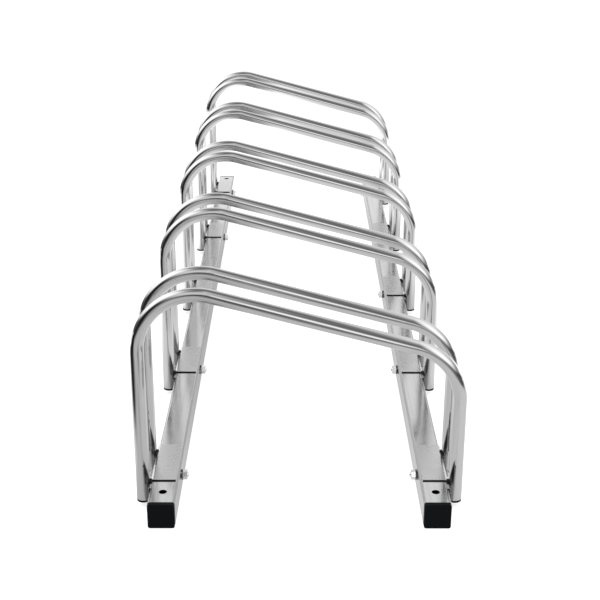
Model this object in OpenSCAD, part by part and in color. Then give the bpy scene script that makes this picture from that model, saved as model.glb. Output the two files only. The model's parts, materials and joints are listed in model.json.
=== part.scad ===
// Floor bike rack: pairs of bent tube hoops on two square rails.
// Origin: centre of the footprint, on the floor. +Z is up, the rails run along Y,
// and the hoops stand across them in planes parallel to XZ, high shoulder towards -X.

/* [Rails] */
// Length of each square steel rail
rail_length = 1304; // [1250:1:1600]
// Outer width and height of the square rail
rail_side = 30; // [26:0.5:36]
// Wall of the square rail
rail_wall = 1.5; // [1:0.1:2.5]
// Outer corner radius of the square rail
rail_corner_r = 3; // [2.2:0.1:4]
// Distance between the rail centrelines
rail_spacing = 300; // [260:1:400]

/* [Hoops] */
// Distance from one pair to the next
pair_pitch = 285; // [240:1:300]
// Distance between the two hoop planes of a pair
hoop_gap = 67; // [50:0.5:80]
// Outer diameter of the hoop tube
hoop_tube_d = 15.5; // [12:0.5:18]
// Wall of the hoop tube
hoop_wall = 1.2; // [0.8:0.1:2]
// Height of the hoop's high shoulder above the floor
hoop_height = 261; // [230:1:340]
// Fall of the top bar from the high shoulder, in degrees
hoop_slope = 14.7; // [5:0.1:18]
// Centreline radius of both bends
bend_r = 65; // [40:1:75]
// Height of the capped leg ends above the floor
leg_ground = 7; // [4:0.5:14]

/* [Brackets] */
// Thickness of the bent angle brackets
bracket_t = 1.5; // [1.2:0.1:3]
// Length of a bracket along the rail
bracket_length = 98; // [90:1:120]
// Height of the bracket's outer flange
bracket_drop = 23.5; // [20:0.5:28]
// Inside radius of the bracket's bend
bracket_bend_r = 2; // [1:0.1:2.2]
// How far the top flange is cut back at its front end
bracket_notch = 16.2; // [8:0.2:22]
// How far the top flange stops short of the rail's inner face
bracket_inset = 3; // [2:0.5:6]
// Distance from the front end of the rail to the first bracket
first_bracket = 29; // [26:0.5:40]
// Radius of the weld beads between the legs and a bracket
weld_r = 1.6; // [1:0.1:2.2]

/* [Clamp bolts] */
// Diameter of the clamp bolts
bolt_d = 6; // [5:0.5:8]
// Height of the clamp bolts above the floor
bolt_height = 19.5; // [17:0.5:21]
// Width across the flats of the bolt head and the nut
hex_width = 10; // [9:0.5:12]
// Thickness of the bolt head
head_t = 4; // [3:0.1:5]
// Thickness of the nut
nut_t = 5; // [4:0.1:6.5]
// Diameter of the washer under the nut
washer_d = 12; // [11:0.5:14]
// Thickness of the washer
washer_t = 2; // [1:0.1:2.5]
// Length of bolt that stands out of the nut
bolt_end = 1.6; // [0.5:0.1:4]
// Width of the chamfer on the bolt's end
bolt_chamfer = 0.6; // [0.3:0.1:0.9]

/* [Floor fixing] */
// Diameter of the floor fixing holes
floor_hole_d = 9; // [6:0.5:11]
// Distance from the front end of the rail to its fixing hole
front_hole = 21.5; // [18:0.5:22]
// Distance from the rear end of the rail to its fixing hole
rear_hole = 17; // [16:0.5:22]

/* [Plastic caps] */
// Thickness of the rail cap's outer plate
rail_cap_t = 5; // [2:0.1:6]
// How far the rail cap stays inside the rail's outline
rail_cap_inset = 0.3; // [0.3:0.1:1.2]
// Corner radius of the rail cap's plate
rail_cap_r = 2.6; // [1.5:0.1:3.5]
// Depth of the rail cap's plug
rail_plug_depth = 10; // [6:0.5:11]
// Thickness of the leg cap's outer rim
leg_cap_t = 2.5; // [1.2:0.1:3]
// Depth of the leg cap's plug
leg_plug_depth = 10; // [6:0.5:14]
// Wall of both plugs
plug_wall = 1.6; // [1:0.1:2.2]

/* [Hidden] */
$fn = 48;
// Clearance between a plug and the wall around it
plug_fit = 0.5;
// Clearance at bolt holes
hole_fit = 0.4;
// Clearance where threads meet
thread_fit = 0.1;
// Clearance between a rib and the wall around it
rib_fit = 0.05;
// Overrun of every cut past the surface that it opens
cut = 1;
// How far a bend laps into the straight tube at each end
bend_lap = 0.5;
// How much a bend draws the tube's radius in
bend_squeeze = 0.05;
// Least distance from the last bracket to the rear floor hole
bracket_room = 3;
half = 1 / 2;
rib_share = 1 / 8;
rib_rows_share = [0.3, 0.7];
// Chamfer circle of a hexagon, as a share of the width across its flats
hex_face_share = 0.95;
// Stand-off of a weld bead's axis from the bracket and from the leg, as shares of its radius
weld_bracket_share = 0.8;
weld_leg_share = 0.2;

rail_x = rail_spacing * half;
rail_bore = rail_side - 2 * rail_wall;
rail_bore_r = max(rail_corner_r - rail_wall, rail_wall * half);
hoop_r = hoop_tube_d * half;
hoop_bore_r = hoop_r - hoop_wall;
bracket_face = rail_x + rail_side * half + bracket_t;
leg_x = bracket_face + hoop_r;
bend_lap_angle = atan(bend_lap / bend_r);
leg_start = leg_ground + leg_cap_t;
left_bend_z = hoop_height - hoop_r - bend_r;
bar_run = 2 * (leg_x - bend_r);
right_bend_z = left_bend_z - bar_run * tan(hoop_slope);
bar_length = bar_run / cos(hoop_slope);
// As many pairs, one for each wheel, as find room between the two floor holes
last_bracket = rear_hole + floor_hole_d * half + bracket_room;
pair_count = 1 + floor((rail_length - first_bracket - bracket_length - last_bracket) / pair_pitch);
bracket_top = rail_side + bracket_t;
bracket_bottom = bracket_top - bracket_drop;
bolt_head_x = bracket_face;
bolt_grip = rail_side + bracket_t + washer_t + nut_t;
rail_front = -rail_length * half;
hex_r = hex_width * half / cos(180 / 6);

// Front edge of the outer flange of pair k
function bracket_y(k) = rail_front + first_bracket + (k - 1) * pair_pitch;
// Bolt, and the middle between the two hoops, of pair k
function pair_y(k) = bracket_y(k) + bracket_length * half;
// Plane of the front hoop (side -1) or the rear hoop (side 1) of pair k
function hoop_y(k, side) = pair_y(k) + side * hoop_gap * half;

SIDES = [["left", -1], ["right", 1]];
ENDS = [["front", -1], ["rear", 1]];

ZINC = [0.76, 0.77, 0.78];
BLACK = [0.06, 0.07, 0.07];

// Square with rounded corners, centred
module rounded_square(side, r) {
    union() {
        square([side, side - 2 * r], center = true);
        square([side - 2 * r, side], center = true);
        for (x = [-1, 1], y = [-1, 1])
            translate([x * (side * half - r), y * (side * half - r)]) circle(r);
    }
}

// Rod along X whose inner end is at x = 0 and which runs towards +X
module rod_x(d, length) {
    rotate([0, 90, 0]) cylinder(d = d, h = length);
}

// Hexagon along +X, with its corners chamfered at 30 degrees at the outer end
module hex_x(thickness) {
    face_r = hex_width * half * hex_face_share;
    rotate([0, 90, 0]) intersection() {
        rotate(30) cylinder(r = hex_r, h = thickness, $fn = 6);
        cylinder(r1 = face_r + thickness * tan(60), r2 = face_r, h = thickness);
    }
}

// One square rail with its floor fixing holes and the holes for the clamp bolts
module rail(side) {
    color(ZINC) difference() {
        translate([side * rail_x, rail_front, rail_side * half])
            rotate([-90, 0, 0])
            linear_extrude(rail_length) difference() {
                rounded_square(rail_side, rail_corner_r);
                rounded_square(rail_bore, rail_bore_r);
            }
        for (y = [rail_front + front_hole, -rail_front - rear_hole])
            translate([side * rail_x, y, -cut])
                cylinder(d = floor_hole_d, h = rail_side + 2 * cut);
        for (k = [1 : pair_count])
            translate([side * rail_x - rail_side * half - cut, pair_y(k), bolt_height])
                rod_x(bolt_d + hole_fit, rail_side + 2 * cut);
    }
}

// Black cap in the end of a rail: an outer plate and a ribbed hollow plug
module rail_cap(end, side) {
    plate = rail_side - 2 * rail_cap_inset;
    plug = rail_bore - 2 * plug_fit;
    rib = plug + 2 * (plug_fit - rib_fit);
    rib_w = rail_plug_depth * rib_share;
    color(BLACK)
    translate([side * rail_x, end * rail_length * half, rail_side * half])
    rotate([end * -90, 0, 0]) {
        linear_extrude(rail_cap_t) rounded_square(plate, rail_cap_r);
        translate([0, 0, -rail_plug_depth]) difference() {
            union() {
                linear_extrude(rail_plug_depth) rounded_square(plug, rail_bore_r);
                for (row = rib_rows_share)
                    translate([0, 0, row * rail_plug_depth])
                        linear_extrude(rib_w) rounded_square(rib, rail_bore_r);
            }
            translate([0, 0, -cut]) linear_extrude(rail_plug_depth + cut)
                rounded_square(plug - 2 * plug_wall, rail_bore_r);
        }
    }
}

// Rod round a bend in the XZ plane about its centre, from an angle above +X, which laps
// into the straight rod at both ends
module bent_rod(r, x, z, from, sweep) {
    translate([x, 0, z]) rotate([90, 0, 0]) rotate([0, 0, from - bend_lap_angle])
        rotate_extrude(angle = sweep + 2 * bend_lap_angle, $fn = 96)
        translate([bend_r, 0]) circle(r - bend_squeeze);
}

// Rod along a hoop: tall left leg, left bend, falling top bar, right bend, short right leg
module hoop_rod(r, foot) {
    translate([-leg_x, 0, foot]) cylinder(r = r, h = left_bend_z - foot);
    bent_rod(r, bend_r - leg_x, left_bend_z, 90 - hoop_slope, 90 + hoop_slope);
    translate([-bar_run * half + bend_r * sin(hoop_slope), 0, left_bend_z + bend_r * cos(hoop_slope)])
        rotate([0, 90 + hoop_slope, 0]) cylinder(r = r, h = bar_length);
    bent_rod(r, leg_x - bend_r, right_bend_z, 0, 90 - hoop_slope);
    translate([leg_x, 0, foot]) cylinder(r = r, h = right_bend_z - foot);
}

// One bent tube, open at both feet
module hoop(k, side) {
    color(ZINC) translate([0, hoop_y(k, side), 0]) difference() {
        hoop_rod(hoop_r, leg_start);
        hoop_rod(hoop_bore_r, leg_start - cut);
    }
}

// Angle section: the outer flange at +X, the top flange over the rail
module bracket_section() {
    outer_r = bracket_bend_r + bracket_t;
    left = -rail_side * half + bracket_inset;
    right = rail_side * half + bracket_t;
    translate([left, bracket_top - bracket_t]) square([right - outer_r - left, bracket_t]);
    translate([right - bracket_t, bracket_bottom]) square([bracket_t, bracket_drop - outer_r]);
    translate([right - outer_r, bracket_top - outer_r]) intersection() {
        difference() {
            circle(outer_r);
            circle(bracket_bend_r);
        }
        square([outer_r, outer_r]);
    }
}

// Bent angle over the rail's outer edge, with the hoops welded to its outer flange
module bracket(k, side) {
    color(ZINC) difference() {
        translate([side * rail_x, bracket_y(k), 0])
            mirror([side < 0 ? 1 : 0, 0, 0])
            translate([0, bracket_length, 0]) rotate([90, 0, 0])
            linear_extrude(bracket_length) bracket_section();
        // the top flange and the bend are cut back at the front
        translate([side * rail_x - rail_side * half - bracket_t - cut, bracket_y(k) - cut, rail_side])
            cube([rail_side + 2 * (bracket_t + cut), bracket_notch + cut, bracket_t + cut]);
        translate([side * bracket_face - cut - bracket_t, pair_y(k), bolt_height])
            rod_x(bolt_d + hole_fit, 2 * (bracket_t + cut));
    }
}

// Weld bead in the groove between a leg and its bracket, front or rear of the leg
module weld_seam(side, seam) {
    from_leg = hoop_r - weld_r * weld_bracket_share;
    y = sqrt(pow(hoop_r + weld_r * weld_leg_share, 2) - pow(from_leg, 2));
    low = bracket_bottom + weld_r;
    high = bracket_top - bracket_t - bracket_bend_r;
    difference() {
        translate([side * (leg_x - from_leg), seam * y, 0]) {
            translate([0, 0, low]) cylinder(r = weld_r, h = high - low);
            translate([0, 0, low]) sphere(weld_r);
            translate([0, 0, high]) sphere(weld_r);
        }
        translate([side * leg_x, 0, -cut]) cylinder(r = hoop_r, h = hoop_height);
        translate([side * (bracket_face - weld_r) - weld_r, -2 * hoop_r, -cut])
            cube([2 * weld_r, 4 * hoop_r, hoop_height]);
    }
}

// All weld seams of one pair, two at each leg
module welds(k) {
    color(ZINC)
    for (end = [-1, 1], side = [-1, 1], seam = [-1, 1])
        translate([0, hoop_y(k, end), 0]) weld_seam(side, seam);
}

// Black cap in the foot of a leg: a rim and a ribbed hollow plug
module leg_cap() {
    plug_r = hoop_bore_r - plug_fit;
    rib_w = leg_plug_depth * rib_share;
    difference() {
        union() {
            cylinder(r = hoop_r, h = leg_cap_t);
            cylinder(r = plug_r, h = leg_cap_t + leg_plug_depth);
            for (row = rib_rows_share)
                translate([0, 0, leg_cap_t + row * leg_plug_depth])
                    cylinder(r = hoop_bore_r - rib_fit, h = rib_w);
        }
        translate([0, 0, leg_cap_t]) cylinder(r = plug_r - plug_wall, h = leg_plug_depth + cut);
    }
}

// The four foot caps of one pair
module leg_caps(k) {
    color(BLACK)
    for (end = [-1, 1], side = [-1, 1])
        translate([side * leg_x, hoop_y(k, end), leg_ground]) leg_cap();
}

// Places its children at the clamp bolt of each side, with +X pointing outwards
module at_bolts(k) {
    for (side = [-1, 1])
        mirror([side < 0 ? 1 : 0, 0, 0]) translate([0, pair_y(k), bolt_height]) children();
}

// Hexagon bolts through bracket and rail, heads outside
module clamp_bolts(k) {
    color(ZINC) at_bolts(k) {
        translate([bolt_head_x, 0, 0]) hex_x(head_t);
        translate([bolt_head_x - bolt_grip, 0, 0]) rod_x(bolt_d, bolt_grip);
        translate([bolt_head_x - bolt_grip - bolt_end, 0, 0]) rotate([0, 90, 0])
            cylinder(r1 = bolt_d * half - bolt_chamfer, r2 = bolt_d * half, h = bolt_end);
    }
}

// Washers between the rail's inner face and the nuts
module clamp_washers(k) {
    color(BLACK) at_bolts(k)
        translate([rail_x - rail_side * half - washer_t, 0, 0]) difference() {
            rod_x(washer_d, washer_t);
            translate([-cut, 0, 0]) rod_x(bolt_d + hole_fit, washer_t + 2 * cut);
        }
}

// Nuts on the inner side of each rail
module clamp_nuts(k) {
    color(ZINC) at_bolts(k)
        translate([rail_x - rail_side * half - washer_t, 0, 0]) difference() {
            mirror([1, 0, 0]) hex_x(nut_t);
            translate([-nut_t - cut, 0, 0]) rod_x(bolt_d + 2 * thread_fit, nut_t + 2 * cut);
        }
}

for (s = SIDES)
    rail(s[1]);
for (e = ENDS) for (s = SIDES)
    rail_cap(e[1], s[1]);
for (k = [1 : pair_count]) for (e = ENDS)
    hoop(k, e[1]);
for (k = [1 : pair_count]) for (s = SIDES)
    bracket(k, s[1]);
for (k = [1 : pair_count]) {
    welds(k);
    leg_caps(k);
    clamp_bolts(k);
    clamp_washers(k);
    clamp_nuts(k);
}
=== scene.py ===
import json
import math
import random

import bmesh
import bpy
from mathutils import Matrix, Vector

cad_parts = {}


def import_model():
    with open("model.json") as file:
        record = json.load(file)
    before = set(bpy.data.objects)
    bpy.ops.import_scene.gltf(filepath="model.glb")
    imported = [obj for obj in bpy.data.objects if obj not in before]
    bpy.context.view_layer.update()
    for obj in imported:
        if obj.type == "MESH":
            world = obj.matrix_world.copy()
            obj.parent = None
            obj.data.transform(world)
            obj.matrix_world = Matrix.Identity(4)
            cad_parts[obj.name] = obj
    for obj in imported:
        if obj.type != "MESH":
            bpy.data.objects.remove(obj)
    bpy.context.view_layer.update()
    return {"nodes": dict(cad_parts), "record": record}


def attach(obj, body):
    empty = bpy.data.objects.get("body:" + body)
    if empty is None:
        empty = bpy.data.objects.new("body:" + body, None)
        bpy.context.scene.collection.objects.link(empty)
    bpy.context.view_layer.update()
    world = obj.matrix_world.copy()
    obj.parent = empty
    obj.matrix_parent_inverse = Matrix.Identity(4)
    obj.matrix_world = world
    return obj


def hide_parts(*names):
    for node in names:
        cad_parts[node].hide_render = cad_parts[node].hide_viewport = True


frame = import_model()
MM = 0.001

# Sizes of the frame, in millimetres, as the part's source has them
PAIRS = 5
PAIR_1 = -574.0         # y of the first pair's middle
PAIR_PITCH = 285.0
HALF_GAP = 33.5         # from a pair's middle to each of its hoops
TUBE_R = 7.75
TUBE_WALL = 1.2
BEND_EASE = 0.05        # by how much the tube is slimmer in its bends
BEND_R = 65.0
LEG_X = 174.25
FOOT_Z = 9.5            # the tube's end, on the rim of its cap
HOOP_HIGH = 261.0
SLOPE = math.radians(14.7)
FLANGE_LOW = 8.0        # the brackets' lower edge
WELD_R = 1.6
WELD_X = 167.78         # axis of a bead's straights
WELD_Y = 4.82           # how far that axis lies from the hoop's plane
WELD_HIGH = 27.0

# UV of the tubes: u goes once round the tube, v along it, each hoop from a start of its own
UV_PER_MM = 0.01
UV_PAIR = 20.0          # from one pair's start to the next
UV_REAR = 10.0          # from a pair's front hoop to its rear one
UV_SPLIT = 0.47         # share of a pair's v that parts its two hoops


def pair_y(k):
    return PAIR_1 + (k - 1) * PAIR_PITCH


# ---------------------------------------------------------------- materials
# Sockets of a Mix node that mixes colours. Their names stand for other sockets too.
MIX_FACTOR, MIX_A, MIX_B, MIX_COLOUR = 0, 6, 7, 2


class Nodes:
    """Adds shader nodes to a material or a world. A value is a number, a colour or a socket."""

    def __init__(self, owner):
        owner.use_nodes = True
        self.owner = owner
        self.tree = owner.node_tree
        self.bsdf = self.tree.nodes.get("Principled BSDF")

    def add(self, kind, **values):
        """A new node, with its sockets or else its settings set by name."""
        node = self.tree.nodes.new(kind)
        for key, value in values.items():
            if key in node.inputs:
                node.inputs[key].default_value = value
            else:
                setattr(node, key, value)
        return node

    def link(self, a, b):
        self.tree.links.new(a, b)

    def put(self, value, socket):
        if isinstance(value, (int, float, tuple)):
            socket.default_value = value
        else:
            self.link(value, socket)

    def math(self, op, a, b=0.0, clamp=False):
        node = self.add("ShaderNodeMath", operation=op, use_clamp=clamp)
        self.put(a, node.inputs[0])
        self.put(b, node.inputs[1])
        return node.outputs[0]

    def total(self, *terms):
        value = terms[0]
        for term in terms[1:]:
            value = self.math("ADD", value, term)
        return value

    def swing(self, value, amount):
        """Turns a value between 0 and 1 into a swing to both sides of zero."""
        return self.math("MULTIPLY", self.math("SUBTRACT", value, 0.5), amount)

    def ease(self, value, low, high, start, end, kind="SMOOTHSTEP"):
        """Goes from start to end while the value goes from low to high."""
        node = self.add("ShaderNodeMapRange", interpolation_type=kind)
        for socket, number in zip(node.inputs, (value, low, high, start, end)):
            self.put(number, socket)
        return node.outputs[0]

    def ramp(self, value, stops):
        """Greys for a value between 0 and 1, from stops of place and grey."""
        node = self.add("ShaderNodeValToRGB")
        elements = node.color_ramp.elements
        while len(elements) < len(stops):
            elements.new(0.5)
        for element, (place, grey) in zip(elements, stops):
            element.position = place
            element.color = (grey, grey, grey, 1)
        self.link(value, node.inputs[0])
        return node.outputs[0]

    def noise(self, vector, scale, detail, rough):
        node = self.add("ShaderNodeTexNoise", Scale=scale, Detail=detail, Roughness=rough)
        self.link(vector, node.inputs["Vector"])
        return node.outputs["Fac"]

    def stretched(self, source, scale):
        node = self.add("ShaderNodeMapping", Scale=scale)
        self.link(source, node.inputs["Vector"])
        return node.outputs["Vector"]

    def xyz(self, vector):
        """The three coordinates of a vector."""
        node = self.add("ShaderNodeSeparateXYZ")
        self.link(vector, node.inputs[0])
        return node.outputs

    def geometry(self, what):
        """The three coordinates of a place or a direction on the surface."""
        return self.xyz(self.add("ShaderNodeNewGeometry").outputs[what])

    def mix(self, factor, a, b, blend="MIX"):
        node = self.add("ShaderNodeMix", data_type="RGBA", blend_type=blend)
        for index, value in ((MIX_FACTOR, factor), (MIX_A, a), (MIX_B, b)):
            self.put(value, node.inputs[index])
        return node.outputs[MIX_COLOUR]

    def bump(self, height, strength, distance):
        node = self.add("ShaderNodeBump", Strength=strength, Distance=distance)
        self.link(height, node.inputs["Height"])
        self.link(node.outputs[0], self.bsdf.inputs["Normal"])

    def mix_shaders(self, factor, a, b):
        node = self.add("ShaderNodeMixShader")
        for socket, value in zip(node.inputs, (factor, a, b)):
            self.link(value, socket)
        return node.outputs[0]

    def show(self, shader):
        """Makes a shader the material's surface, in place of its first one."""
        self.tree.nodes.remove(self.bsdf)
        self.link(shader, self.tree.nodes["Material Output"].inputs[0])


# Painted reflection: dark marks on the legs beside a weld, in place of the dark things that the
# legs mirror there. Heights are in millimetres. Turns are in degrees round the leg, from its
# front or its back, whichever is nearer, towards the inner side.
REFLECTION_TOP = 62.0             # height of the marks' tips
REFLECTION_TOP_REAR = 6.0         # how much higher they are on a rear hoop
REFLECTION_START = 22.0           # turn of a mark's far side at the tip
REFLECTION_FLARE = 1.7            # turn that it gains with each millimetre down
REFLECTION_FLARE_REAR = 0.55      # how much less that is on a rear hoop
REFLECTION_WOBBLE_Z = 7.0         # how ragged the marks are, in height and in turn
REFLECTION_WOBBLE_TURN = 10.0
# Each row says from where to where, then the value at both ends
REFLECTION_WIDEST = (27, 36, 44.0, 75.0)      # by height, the largest turn of the far side
REFLECTION_NEAR_SIDE = (13, 27, 0.0, 1.0)     # by turn
REFLECTION_FAR_SIDE = (-7, 7, 1.0, 0.0)       # by turn past the far side
REFLECTION_TIP = (-8, 3, 1.0, 0.0)            # by height past the tip
REFLECTION_BY_BEAD = (27, 34, 0.55, 1.0)        # by height, fainter beside the bead
REFLECTION_FADE_BACK = (36, 66, 1.0, 0.5)       # by UV v, fainter on the pairs further back
REFLECTION_GREY = (35, 43, 0.085, 0.03)      # by height, the grey of the painted reflection


def painted_weld_reflection(n, coord, cloud):
    """How much painted reflection a leg gets, 0 to 1, and how dark it is: a pair of tapered dark
    marks that stand in for what the leg mirrors beside the weld. They rise from the weld's two
    grooves and lean apart, then fade to a fainter mark beside the bead."""
    uv = n.xyz(coord.outputs["UV"])
    height = n.math("MULTIPLY", n.xyz(coord.outputs["Object"])[2], 1 / MM)
    height = n.math("ADD", height, n.swing(cloud, REFLECTION_WOBBLE_Z))
    turn = n.math("SUBTRACT", n.math("MULTIPLY", uv[0], 360.0), 90.0)
    turn = n.math("SUBTRACT", 90.0, n.math("ABSOLUTE", turn))
    turn = n.math("ADD", turn, n.swing(cloud, REFLECTION_WOBBLE_TURN))

    rear = n.math("GREATER_THAN", n.math("FRACT", n.math("DIVIDE", uv[1], UV_PAIR)), UV_SPLIT)
    top = n.math("ADD", REFLECTION_TOP, n.math("MULTIPLY", rear, REFLECTION_TOP_REAR))
    flare = n.math("SUBTRACT", REFLECTION_FLARE, n.math("MULTIPLY", rear, REFLECTION_FLARE_REAR))
    drop = n.math("MAXIMUM", n.math("SUBTRACT", top, height), 0.0)
    reach = n.math("ADD", n.math("MULTIPLY", drop, flare), REFLECTION_START)
    reach = n.math("MINIMUM", reach, n.ease(height, *REFLECTION_WIDEST))

    mask = n.ease(turn, *REFLECTION_NEAR_SIDE)
    for edge in (n.ease(n.math("SUBTRACT", turn, reach), *REFLECTION_FAR_SIDE),
                 n.ease(n.math("SUBTRACT", height, top), *REFLECTION_TIP),
                 n.ease(height, *REFLECTION_BY_BEAD),
                 n.ease(uv[1], *REFLECTION_FADE_BACK)):
        mask = n.math("MULTIPLY", mask, edge)
    return mask, n.ease(height, *REFLECTION_GREY)


# Noise of bright zinc: the drawn lines, stretched along a tube's UV v or a rail's Y, then the
# clouds and the spangle
LINES_UV = {"fine": (260, 3, 1), "broad": (40, 5, 1)}
LINES_Y = {"fine": (900, 4, 900), "broad": (160, 5, 160)}
CLOUD_SCALE = 38.0
SPANGLE_SCALE = 420.0
SPANGLE_SHARE = 0.25        # of the mottle
CLOUD_ROUGH = 0.9           # shares of the roughness by which it varies
LINES_ROUGH, LINES_ROUGH_SHEET = 0.8, 0.1
LINES_BUMP, LINES_BUMP_SHEET = 0.04, 0.01
CUT_EDGE = 0.9              # how squarely a sheared edge faces along Y
# painted shade: the near-black grey of the sheared edges, for the shaded gap between bracket and
# rail
EDGE_SHADE_GREY = (0.03, 0.03, 0.03, 1)
CORNER = (0.05, 0.4, 0.0, 1.0)          # by how much a face leans both sideways and up
# painted shade: a darker grey that dims the corners' mirrored highlight
CORNER_SHADE_GREY = (0.42, 0.42, 0.42, 1)
CORNER_ROUGH = 0.3
REFLECTION_ROUGH = 0.3


def zinc(name, base, rough, streak, mottle, uv=False, edges=False, corners=False):
    """Bright zinc over drawn steel: fine lines along the piece, faint spangle and handling marks.
    A tube has UV and a painted reflection, dark marks by the welds. A bracket has painted shade
    on its sheared edges, and a rail has rougher corners that are painted darker as painted shade."""
    n = Nodes(bpy.data.materials.new(name))
    coord = n.add("ShaderNodeTexCoord")
    place = coord.outputs["UV" if uv else "Object"]
    lines = LINES_UV if uv else LINES_Y
    fine = n.noise(n.stretched(place, lines["fine"]), scale=1.0, detail=3.0, rough=0.6)
    broad = n.noise(n.stretched(place, lines["broad"]), scale=1.0, detail=2.0, rough=0.5)
    cloud = n.noise(coord.outputs["Object"], scale=CLOUD_SCALE, detail=4.0, rough=0.55)
    spangle = n.add("ShaderNodeTexVoronoi", Scale=SPANGLE_SCALE)
    n.link(coord.outputs["Object"], spangle.inputs["Vector"])
    grain = n.add("ShaderNodeSeparateColor")
    n.link(spangle.outputs["Color"], grain.inputs[0])

    tone = n.total(n.swing(fine, streak), n.swing(broad, streak), n.swing(cloud, mottle),
                   n.swing(grain.outputs[0], mottle * SPANGLE_SHARE), 1.0)
    shown = n.mix(1.0, (base, base, base, 1), tone, "MULTIPLY")
    spread = n.total(n.swing(cloud, rough * CLOUD_ROUGH),
                     n.swing(fine, rough * (LINES_ROUGH_SHEET if edges else LINES_ROUGH)))
    if edges:
        # painted shade: the sheared edges across the piece are painted near black, for the shaded
        # gap line between bracket and rail
        normal = n.geometry("True Normal")
        edge_shade = n.math("GREATER_THAN", n.math("ABSOLUTE", normal[1]), CUT_EDGE)
        shown = n.mix(edge_shade, shown, EDGE_SHADE_GREY)
    if corners:
        # the rounded corners of a cold-drawn tube are rougher than its flats, and painted darker as
        # painted shade that dims the highlight they mirror
        normal = n.geometry("True Normal")
        lean = n.math("ABSOLUTE", n.math("MULTIPLY", normal[0], normal[2]))
        corner_dull_and_shade = n.ease(lean, *CORNER)
        shown = n.mix(corner_dull_and_shade, shown, CORNER_SHADE_GREY)
        spread = n.math("ADD", spread, n.math("MULTIPLY", corner_dull_and_shade, CORNER_ROUGH))
    if uv:
        # painted reflection: the legs darkened beside the welds, for the dark things they mirror
        # there
        painted_reflection, black = painted_weld_reflection(n, coord, cloud)
        shown = n.mix(painted_reflection, shown, black)
        spread = n.math("ADD", spread, n.math("MULTIPLY", painted_reflection, REFLECTION_ROUGH))
    n.link(shown, n.bsdf.inputs["Base Color"])
    n.bsdf.inputs["Metallic"].default_value = 1.0
    n.link(n.math("ADD", spread, rough, clamp=True), n.bsdf.inputs["Roughness"])
    n.bump(fine, strength=LINES_BUMP_SHEET if edges else LINES_BUMP, distance=0.2 * MM)
    return n.owner


PLASTIC_MOTTLE = 0.35
PLASTIC_VARIES = 0.08       # the roughness, to both sides


def plastic(name, base, rough):
    """Moulded plastic with a fine grain."""
    n = Nodes(bpy.data.materials.new(name))
    coord = n.add("ShaderNodeTexCoord")
    grain = n.noise(coord.outputs["Object"], scale=1800.0, detail=3.0, rough=0.6)
    cloud = n.noise(coord.outputs["Object"], scale=60.0, detail=3.0, rough=0.5)
    tone = n.total(n.swing(cloud, PLASTIC_MOTTLE), 1.0)
    n.link(n.mix(1.0, (*base, 1), tone, "MULTIPLY"), n.bsdf.inputs["Base Color"])
    varied = n.ramp(cloud, [(0.3, rough - PLASTIC_VARIES), (0.7, rough + PLASTIC_VARIES)])
    n.link(varied, n.bsdf.inputs["Roughness"])
    n.bsdf.inputs["Specular IOR Level"].default_value = 0.06
    n.bump(grain, strength=0.25, distance=0.1 * MM)
    return n.owner


SHADE_LOW, SHADE_HIGH = 26.5, 29.5      # heights between which a bead turns black, painted shade of the crevice at the bracket's shoulder
SHADE_WOBBLE = 6.0                      # how ragged that change is


def weld_metal(name):
    """Weld metal: mottled grey zinc with dark specks, turned near black over the bracket's shoulder
    as painted shade of the crevice between leg and bracket.
    """
    n = Nodes(bpy.data.materials.new(name))
    coord = n.add("ShaderNodeTexCoord")
    cloud = n.noise(coord.outputs["Object"], scale=700.0, detail=4.0, rough=0.6)
    crevice_shade = n.ramp(cloud, [(0.35, 0.006), (0.62, 0.03), (0.75, 0.2)])
    grey = n.ramp(cloud, [(0.38, 0.02), (0.5, 0.2), (0.7, 0.5)])
    height = n.math("ADD", n.xyz(coord.outputs["Object"])[2], n.swing(cloud, SHADE_WOBBLE * MM))
    upper = n.ease(height, SHADE_LOW * MM, SHADE_HIGH * MM, 0.0, 1.0, "LINEAR")
    n.link(n.mix(upper, grey, crevice_shade), n.bsdf.inputs["Base Color"])
    n.link(n.ramp(cloud, [(0.3, 0.5), (0.8, 0.25)]), n.bsdf.inputs["Roughness"])
    n.bsdf.inputs["Metallic"].default_value = 0.85
    n.bump(cloud, strength=0.5, distance=0.3 * MM)
    return n.owner


def sooty_washer(name):
    """Dark washer whose blacking is rubbed through to bright specks."""
    n = Nodes(bpy.data.materials.new(name))
    coord = n.add("ShaderNodeTexCoord")
    cloud = n.noise(coord.outputs["Object"], scale=420.0, detail=3.0, rough=0.6)
    for socket, stops in (("Base Color", [(0.4, 0.015), (0.52, 0.1), (0.64, 0.55)]),
                          ("Roughness", [(0.3, 0.5), (0.75, 0.22)]),
                          ("Metallic", [(0.46, 0.0), (0.58, 1.0)])):
        n.link(n.ramp(cloud, stops), n.bsdf.inputs[socket])
    n.bump(cloud, strength=0.3, distance=0.2 * MM)
    return n.owner


MATERIALS = {
    "zinc_tube": zinc("zinc_tube", base=0.58, rough=0.042, streak=0.08, mottle=0.05, uv=True),
    "zinc_rail": zinc("zinc_rail", base=0.6, rough=0.15, streak=0.22, mottle=0.08, corners=True),
    "zinc_bracket": zinc("zinc_bracket", base=0.58, rough=0.28, streak=0.015, mottle=0.02,
                         edges=True),
    "zinc_fastener": zinc("zinc_fastener", base=0.86, rough=0.2, streak=0.05, mottle=0.10),
    "black_plastic": plastic("black_plastic", base=(0.0045, 0.0058, 0.0072), rough=0.5),
    "black_washer": sooty_washer("black_washer"),
    "weld_metal": weld_metal("weld_metal"),
}
for part in frame["record"]["subparts"]:
    node = frame["nodes"][part["node"]]
    node.data.materials.clear()
    node.data.materials.append(MATERIALS[part["material_slot"]])


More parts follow.
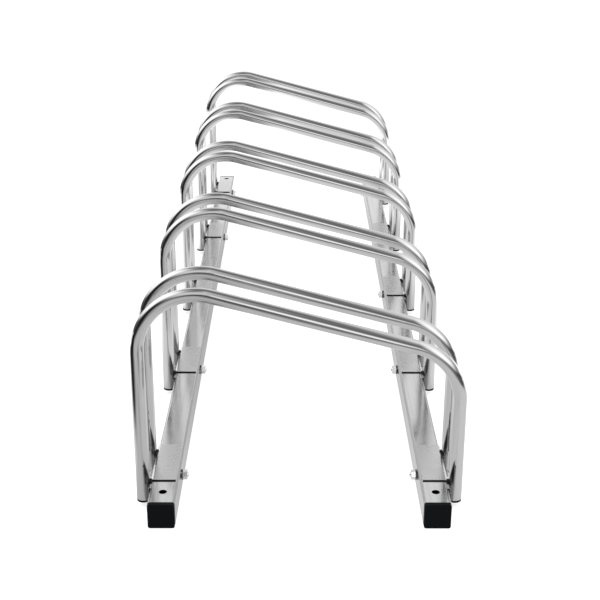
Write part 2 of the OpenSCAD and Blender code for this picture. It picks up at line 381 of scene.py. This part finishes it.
# ---------------------------------------------------------------- pieces
def piece(name, verts, faces, slot, replaces, uvs=None):
    """A smooth mesh in the part's frame, from points in millimetres, in place of CAD nodes."""
    mesh = bpy.data.meshes.new(name)
    mesh.from_pydata([tuple(c * MM for c in v) for v in verts], [], faces)
    if uvs:
        layer = mesh.uv_layers.new(name="UVMap")
        for poly in mesh.polygons:
            for loop, corner_dull_and_shade in zip(poly.loop_indices, uvs[poly.index]):
                layer.data[loop].uv = corner_dull_and_shade
    mesh.polygons.foreach_set("use_smooth", [True] * len(mesh.polygons))
    mesh.materials.append(MATERIALS[slot])
    mesh.validate()
    obj = bpy.data.objects.new(name, mesh)
    bpy.context.scene.collection.objects.link(obj)
    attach(obj, "root")
    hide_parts(*replaces)
    return obj


# The tubes' mesh: heights of the rings on the legs, steps in each stretch between, and round
LEFT_RINGS = (FOOT_Z, FOOT_Z + 1, 40, 80, 120, 160)
RIGHT_RINGS = (100, 70, 40, FOOT_Z + 1, FOOT_Z)
LEFT_STEPS, BAR_STEPS, RIGHT_STEPS = 40, 12, 30
TUBE_AROUND = 64
# UV of the faces that nothing shows: the bore and the tube's ends
HIDDEN_UV = [(0, 0), (0, 0.01), (0.01, 0.01), (0.01, 0)]


def bend_ring(x, z, angle):
    """A ring of a bend about a middle, at an angle from +X towards +Z."""
    return (x + BEND_R * math.cos(angle), z + BEND_R * math.sin(angle),
            math.sin(angle), -math.cos(angle), TUBE_R - BEND_EASE)


def hoop_path():
    """Centre points of a hoop in XZ, each with its direction of travel and tube radius, from the
    left foot up and over to the right one."""
    left_z = HOOP_HIGH - TUBE_R - BEND_R
    run = 2 * (LEG_X - BEND_R)
    right_z = left_z - run * math.tan(SLOPE)
    rows = [(-LEG_X, z, 0.0, 1.0, TUBE_R) for z in (*LEFT_RINGS, left_z)]
    for i in range(1, LEFT_STEPS + 1):
        angle = math.pi - (math.pi / 2 + SLOPE) * i / LEFT_STEPS
        rows.append(bend_ring(-LEG_X + BEND_R, left_z, angle))
    x0, z0 = rows[-1][0], rows[-1][1]
    length = run / math.cos(SLOPE)
    for i in range(1, BAR_STEPS):
        t = length * i / BAR_STEPS
        rows.append((x0 + t * math.cos(SLOPE), z0 - t * math.sin(SLOPE),
                     math.cos(SLOPE), -math.sin(SLOPE), TUBE_R))
    for i in range(RIGHT_STEPS + 1):
        angle = math.pi / 2 - SLOPE - (math.pi / 2 - SLOPE) * i / RIGHT_STEPS
        rows.append(bend_ring(LEG_X - BEND_R, right_z, angle))
    return rows + [(LEG_X, z, 0.0, -1.0, TUBE_R) for z in RIGHT_RINGS]


def hoop(name, y, node, shift):
    """One bent tube with its wall, as a closed skin whose UV v starts at shift."""
    rows = hoop_path()
    verts, faces, uvs = [], [], []
    along = [0.0]
    for a, b in zip(rows, rows[1:]):
        along.append(along[-1] + math.hypot(b[0] - a[0], b[1] - a[1]))
    for wall in (0.0, TUBE_WALL):
        for x, z, dx, dz, outer in rows:
            radius = outer - wall
            for j in range(TUBE_AROUND):
                t = 2 * math.pi * j / TUBE_AROUND
                side, up = math.sin(t) * radius, math.cos(t) * radius
                verts.append((x + dz * side, y - up, z - dx * side))
    pairs_round = [(j, (j + 1) % TUBE_AROUND) for j in range(TUBE_AROUND)]
    count = len(rows)
    for i in range(count - 1):
        a, b = i * TUBE_AROUND, (i + 1) * TUBE_AROUND
        v0, v1 = shift + along[i] * UV_PER_MM, shift + along[i + 1] * UV_PER_MM
        for j, k in pairs_round:
            faces.append((a + j, a + k, b + k, b + j))
            u0, u1 = j / TUBE_AROUND, (j + 1) / TUBE_AROUND
            uvs.append([(u0, v0), (u1, v0), (u1, v1), (u0, v1)])
    inner = count * TUBE_AROUND
    for i in range(count - 1):
        a, b = inner + i * TUBE_AROUND, inner + (i + 1) * TUBE_AROUND
        for j, k in pairs_round:
            faces.append((a + j, b + j, b + k, a + k))
            uvs.append(HIDDEN_UV)
    last = (count - 1) * TUBE_AROUND
    for j, k in pairs_round:
        faces.append((j, inner + j, inner + k, k))
        faces.append((last + j, last + k, inner + last + k, inner + last + j))
        uvs += [HIDDEN_UV] * 2
    obj = piece(name, verts, faces, "zinc_tube", [node], uvs)
    for poly in list(obj.data.polygons)[-2 * TUBE_AROUND:]:
        poly.use_smooth = False


for k in range(1, PAIRS + 1):
    for end, side, start in (("front", -1, 0.0), ("rear", 1, UV_REAR)):
        hoop(f"tube_{k}_{end}", pair_y(k) + side * HALF_GAP, f"hoop_{k}_{end}", UV_PAIR * k + start)


# A bead's axis runs up one straight, over the bracket's shoulder on an arc and down the other
BEAD_KNOTS = (FLANGE_LOW + WELD_R, 15.0, 21.0, WELD_HIGH)      # heights on a straight
ARC_IN, ARC_Z = 7.2, 29.2       # the arc's ends, in from the leg's axis and up from the floor
ARC_BULGE_IN, ARC_BULGE_UP = 1.5, 1.7
ARC_HALF = 3.4                  # its half width along Y
ARC_STEPS = 8
# Its skin, in millimetres
BEAD_SEED = 70
BEAD_STEP = 0.4                 # from ring to ring
BEAD_AROUND = 14                # points on a ring
BEAD_R = 1.4
BEAD_ENDS = (0.25, 0.7, 0.9)    # shares of the radius at the first rings from each end
SWELL, SWELL_LOW, SWELL_RISE = 0.4, 26.0, 4.0       # wider over the shoulder, and from what height
RIPPLE, RIPPLE_PITCH, RIPPLE_UNEVEN = 0.16, (1.4, 1.8), 0.7
WAVE, WAVE_RATE = 0.14, 0.6
LUMPS = ((3, 0.07), (5, 0.05))  # bulges round a ring: how many, and their share of the radius
FULL_TURN = 6.28                # about 2 pi, for the random phases


def bead_axis():
    """Points on a bead's axis, on a smooth curve through its knots: in from the leg's axis,
    along the rail from the hoop's plane, and up."""
    inner = LEG_X - WELD_X
    knots = [(inner, -WELD_Y, z) for z in BEAD_KNOTS]
    for t in range(ARC_STEPS + 1):
        a = math.pi * (t / ARC_STEPS - 0.5)
        knots.append((ARC_IN + ARC_BULGE_IN * math.cos(a), ARC_HALF * math.sin(a),
                      ARC_Z + ARC_BULGE_UP * math.cos(a)))
    knots += [(inner, WELD_Y, z) for z in reversed(BEAD_KNOTS)]
    path = [Vector(p) for p in knots]
    last = len(path) - 1
    rows = []
    for i in range(last):
        p0, p1, p2, p3 = path[max(i - 1, 0)], path[i], path[i + 1], path[min(i + 2, last)]
        steps = max(2, round((p2 - p1).length / BEAD_STEP))
        for j in range(steps):
            t = j / steps
            rows.append(0.5 * (2 * p1 + (p2 - p0) * t + (2 * p0 - 5 * p1 + 4 * p2 - p3) * t * t
                               + (3 * p1 - p0 - 3 * p2 + p3) * t ** 3))
    return rows + [path[-1]]


def weld_bead(chance, side, hoop_y, verts, faces):
    """One rippled bead round the inner side of a leg: up the front groove, over the bracket's
    shoulder and down the rear groove. It narrows towards its two flat ends."""
    rows = bead_axis()
    travelled, pitch = 0.0, chance.uniform(*RIPPLE_PITCH)
    phase = [chance.uniform(0, FULL_TURN) for _ in range(4)]
    first, last = len(verts), len(rows) - 1
    for i, point in enumerate(rows):
        ahead = (rows[min(i + 1, last)] - rows[max(i - 1, 0)]).normalized()
        if i:
            travelled += (point - rows[i - 1]).length
        across = Vector((point.x, point.y, 0.0))
        across = (across - ahead * across.dot(ahead)).normalized()
        other = ahead.cross(across)
        shoulder = max(0.0, min(1.0, (point.z - SWELL_LOW) / SWELL_RISE))
        turn = 2 * math.pi * travelled / pitch + RIPPLE_UNEVEN * math.sin(travelled + phase[0])
        size = (BEAD_R + SWELL * shoulder + RIPPLE * math.sin(turn)
                + WAVE * math.sin(travelled * WAVE_RATE + phase[1]))
        end = min(i, last - i)
        size *= BEAD_ENDS[end] if end < len(BEAD_ENDS) else 1.0
        for j in range(BEAD_AROUND):
            a = 2 * math.pi * j / BEAD_AROUND
            bulge = (1 + LUMPS[0][1] * math.sin(LUMPS[0][0] * a + phase[2] + travelled)
                     + LUMPS[1][1] * math.sin(LUMPS[1][0] * a + phase[3] - travelled))
            p = point + (across * math.cos(a) + other * math.sin(a)) * size * bulge
            verts.append((side * (LEG_X - p.x), hoop_y + p.y, p.z))
    quads = []
    for i in range(last):
        a, b = first + i * BEAD_AROUND, first + (i + 1) * BEAD_AROUND
        for j in range(BEAD_AROUND):
            k = (j + 1) % BEAD_AROUND
            quads.append((a + j, a + k, b + k, b + j))
    quads.append(tuple(range(first, first + BEAD_AROUND))[::-1])
    quads.append(tuple(range(len(verts) - BEAD_AROUND, len(verts))))
    # the right side is a mirror image, so its faces turn over
    faces += quads if side < 0 else [quad[::-1] for quad in quads]


for k in range(1, PAIRS + 1):
    chance = random.Random(BEAD_SEED + k)
    verts, faces = [], []
    for end in (-1, 1):
        for side in (-1, 1):
            weld_bead(chance, side, pair_y(k) + end * HALF_GAP, verts, faces)
    piece(f"weld_beads_{k}", verts, faces, "weld_metal", [f"welds_{k}"])


# ---------------------------------------------------------------- stage
DOME_R = 3.0
DOME_Z = 0.1
# What the metal mirrors: the dome's level at the horizon, half way up and at the top, and the
# elevations between which it changes
DOME_LEVELS = (1.1, 1.0, 0.25)
DOME_RISE = (0, 45, 70)
# Soft shapes of the studio as the metal mirrors it. Each row is middle, half widths, tilt, softness
# and level, where 1 is the white of the backdrop: on the dome in degrees (azimuth from the camera,
# positive to the right, and elevation), on the floor in metres (x, y).
DOME_SHAPES = {
    "softbox_left": (-106, 25, 63, 34, 35, 0.4, 1.75),
    "softbox_right": (82, 47, 47, 17, 7, 0.44, 1.4),
    "softbox_right_core": (45, 26, 21, 26, 7, 0.13, 1.8),
    "flag_left": (-48, 5, 62, 20, 6, 0.5, 0.015),
    "flag_left_tail": (-105, 1, 40, 7, 6, 0.8, 0.12),
    "flag_left_end": (-150, -3, 26, 8, 20, 0.9, 0.55),
    "flag_right": (30, -9, 84, 11, 15, 0.76, 0.16),
    "front_grey": (-12, -3.5, 10, 23, 45, 0.95, 0.68),
    "front_strip": (10, 15, 4.6, 15, 0, 0.9, 3.3),
    "front_gap": (-1, 15.5, 4.7, 9.6, 58, 0.9, 0.04),
    "ceiling_right": (35, 60, 14, 47, -27, 0.88, 0.21),
    "ceiling_top": (119, 77, 95, 4.3, 11, 0.95, 0.21),
    "flag_left_high": (-48, 19, 18, 19, 12, 0.8, 0.02),
    "front_high": (13, 62, 27, 13, 26, 0.6, 0.76),
    "backdrop_right": (127, -4, 32, 5, -11, 0.9, 2.0),
    "strip_high": (4.4, 49, 1.5, 12, -23, 0.28, 1.0),
    "gap_low": (2.5, 1, 4.9, 6, -2, 0.9, 0.04),
    "ceiling_edge": (21.5, 31, 5.4, 23, -13, 0.9, 0.2),
    "flag_right_end": (64, -2, 24, 6.5, 3, 0.5, 0.1),
}
FLOOR_SHAPES = {
    "front_left": (-1.6, -1.9, 1.2, 1.0, 0, 0.6, 0.15),
    "back_right": (1.2, 0.9, 0.35, 1.2, -27, 0.73, 2.9),
    "back_left": (-0.85, 0.8, 0.85, 1.33, 0, 0.1, 1.75),
    "flag_left_low": (-1.7, -1.5, 1.0, 0.45, 20, 0.5, 0.04),
    "flag_left": (-1.9, -1.04, 1.55, 0.38, 7.6, 0.15, 0.015),
    "front_right": (1.1, -1.7, 1.4, 1.0, -25, 0.32, 0.13),
    "right_low": (2.1, -1.0, 1.35, 0.5, -12, 0.4, 0.12),
    "front": (0.36, -2.7, 0.6, 1.75, -5, 0.1, 0.3),
    "near": (0.18, -0.8, 0.54, 0.25, -11, 0.1, 0.71),
    "near_front": (0.02, -1.0, 0.23, 0.13, -36, 0.46, 0.24),
    "near_right": (0.42, -0.72, 0.4, 0.34, -20, 0.6, 0.92),
    "flag_left_tip": (-0.64, -0.68, 0.28, 0.2, 0, 0.3, 0.03),
    "front_gap": (-0.37, -1.8, 0.08, 2.0, -18, 0.9, 0.8),
    "front_streak": (0.3, -1.6, 0.04, 0.3, -10, 0.6, 0.9),
    # painted shadow: darker strips along the rails, which mirrored rays see as the rails' contact
    # shadow on the floor
    "painted_shadow_left": (-0.15, 0.0, 0.05, 0.72, 0, 0.5, 0.53),
    "painted_shadow_right": (0.15, 0.0, 0.05, 0.72, 0, 0.5, 0.68),
}
FLOOR_LEVEL = 1.04
FLOOR_HALF = 30.0
FLOOR_GREY = (0.80, 0.80, 0.80, 1)
FLOOR_GLOW = 0.7            # lifts the lit floor to white for the camera
WHITE = (1, 1, 1, 1)
ROOM_LEVEL = 0.4


def stage_object(name, mesh, mat):
    mesh.materials.append(mat)
    obj = bpy.data.objects.new(name, mesh)
    bpy.context.scene.collection.objects.link(obj)
    return obj


def soft_shape(n, value, a, b, shape):
    """Lays one soft-edged ellipse over a level, by two coordinates."""
    a0, b0, wide, high, tilt, soft, level = shape
    c, s = math.cos(math.radians(tilt)), math.sin(math.radians(tilt))
    da, db = n.math("SUBTRACT", a, a0), n.math("SUBTRACT", b, b0)
    x = n.total(n.math("MULTIPLY", da, c / wide), n.math("MULTIPLY", db, s / wide))
    y = n.total(n.math("MULTIPLY", da, -s / high), n.math("MULTIPLY", db, c / high))
    r = n.math("SQRT", n.total(n.math("MULTIPLY", x, x), n.math("MULTIPLY", y, y)))
    mask = n.ease(r, 1 - soft, 1 + soft, 1.0, 0.0)
    return n.total(value, n.math("MULTIPLY", n.math("SUBTRACT", level, value), mask))


def studio_dome():
    """A dome around the object that only mirrored rays meet."""
    n = Nodes(bpy.data.materials.new("studio_dome"))
    x, y, z = n.geometry("Position")
    azimuth = n.math("DEGREES", n.math("ARCTAN2", x, n.math("MULTIPLY", y, -1.0)))
    rise = n.math("DIVIDE", n.math("SUBTRACT", z, DOME_Z), DOME_R)
    elevation = n.math("DEGREES", n.math("ARCSINE", rise))
    horizon, middle, top = DOME_LEVELS
    low, half, high = DOME_RISE
    value = n.total(n.ease(elevation, low, half, horizon, middle),
                    n.ease(elevation, half, high, 0.0, top - middle))
    for shape in DOME_SHAPES.values():
        value = soft_shape(n, value, azimuth, elevation, shape)
    glow = n.add("ShaderNodeEmission")
    n.link(value, glow.inputs["Strength"])
    n.show(glow.outputs[0])
    mesh = bpy.data.meshes.new("studio_dome")
    shell = bmesh.new()
    bmesh.ops.create_icosphere(shell, subdivisions=5, radius=DOME_R,
                               matrix=Matrix.Translation((0, 0, DOME_Z)))
    shell.to_mesh(mesh)
    shell.free()
    dome = stage_object("studio_dome", mesh, n.owner)
    dome.visible_camera = False
    dome.visible_diffuse = False
    dome.visible_transmission = False
    dome.visible_volume_scatter = False
    dome.visible_shadow = False


def pale_floor():
    """Pale floor: white to the camera, with the object's soft shadow. Mirrored rays see it with
    the studio's soft shapes instead, and everything else sees it as it is lit."""
    n = Nodes(bpy.data.materials.new("floor_pale"))
    path = n.add("ShaderNodeLightPath").outputs
    x, y, _ = n.geometry("Position")
    value = FLOOR_LEVEL
    for shape in FLOOR_SHAPES.values():
        value = soft_shape(n, value, x, y, shape)
    lit = n.add("ShaderNodeBsdfDiffuse", Color=FLOOR_GREY)
    glow = n.add("ShaderNodeEmission", Color=WHITE, Strength=FLOOR_GLOW)
    seen = n.add("ShaderNodeAddShader")
    n.link(lit.outputs[0], seen.inputs[0])
    n.link(glow.outputs[0], seen.inputs[1])
    mirrored = n.add("ShaderNodeEmission")
    n.link(value, mirrored.inputs["Strength"])
    by_camera = n.mix_shaders(path["Is Camera Ray"], lit.outputs[0], seen.outputs[0])
    by_metal = n.math("MAXIMUM", path["Is Glossy Ray"], path["Is Transmission Ray"])
    n.show(n.mix_shaders(by_metal, by_camera, mirrored.outputs[0]))
    mesh = bpy.data.meshes.new("floor")
    half = FLOOR_HALF
    mesh.from_pydata([(-half, -half, 0), (half, -half, 0), (half, half, 0), (-half, half, 0)],
                     [], [(0, 1, 2, 3)])
    stage_object("floor", mesh, n.owner)


def world():
    """White backdrop to the camera and to mirrored rays, a plain pale room for the rest."""
    n = Nodes(bpy.data.worlds.new("studio"))
    bpy.context.scene.world = n.owner
    n.tree.nodes.clear()
    out = n.add("ShaderNodeOutputWorld")
    path = n.add("ShaderNodeLightPath").outputs
    by_metal = n.math("MAXIMUM", path["Is Glossy Ray"], path["Is Transmission Ray"])
    seen = n.math("MAXIMUM", path["Is Camera Ray"], by_metal)
    room = n.add("ShaderNodeBackground", Color=WHITE, Strength=ROOM_LEVEL)
    white = n.add("ShaderNodeBackground", Color=WHITE, Strength=1.0)
    n.link(n.mix_shaders(seen, room.outputs[0], white.outputs[0]), out.inputs[0])


studio_dome()
pale_floor()
world()

LAMP_SIZE = 2.2
LAMP_TARGET = (0, 0, 0.1)


def area(name, place, power):
    """Soft square lamp that lights the object without showing in the metal."""
    data = bpy.data.lights.new(name, "AREA")
    data.shape = "SQUARE"
    data.size = LAMP_SIZE
    data.energy = power
    lamp = bpy.data.objects.new(name, data)
    lamp.location = place
    lamp.rotation_mode = "QUATERNION"
    lamp.rotation_quaternion = (Vector(LAMP_TARGET) - Vector(place)).to_track_quat("-Z", "Y")
    lamp.visible_glossy = False
    bpy.context.scene.collection.objects.link(lamp)


area("key", (-1.6, -1.2, 2.4), 30)
area("fill", (1.8, -1.0, 2.0), 20)

# ---------------------------------------------------------------- camera
# fitted to the photograph's rail edges, caps, hoops and feet
CAM = Vector((-3.791, -1759.581, 702.965)) * MM
YAW, PITCH_DOWN, ROLL = (math.radians(a) for a in (0.199, 21.561, -0.158))
FOCAL_PX = 1180.791
PHOTO_PX = 600.0
SENSOR = 36.0
data = bpy.data.cameras.new("camera")
data.sensor_width = SENSOR
data.sensor_fit = "HORIZONTAL"
data.lens = FOCAL_PX * SENSOR / PHOTO_PX
data.clip_start, data.clip_end = 0.05, 100.0
camera = bpy.data.objects.new("camera", data)
forward = Vector((math.sin(YAW) * math.cos(PITCH_DOWN), math.cos(YAW) * math.cos(PITCH_DOWN),
                  -math.sin(PITCH_DOWN)))
right = Vector((math.cos(YAW), -math.sin(YAW), 0.0))
down = forward.cross(right)
right_rolled = math.cos(ROLL) * right + math.sin(ROLL) * down
down_rolled = -math.sin(ROLL) * right + math.cos(ROLL) * down
turn = Matrix((right_rolled, -down_rolled, -forward)).transposed().to_4x4()
turn.translation = CAM
camera.matrix_world = turn
bpy.context.scene.collection.objects.link(camera)
bpy.context.scene.camera = camera

bpy.context.scene.view_settings.view_transform = "Standard"
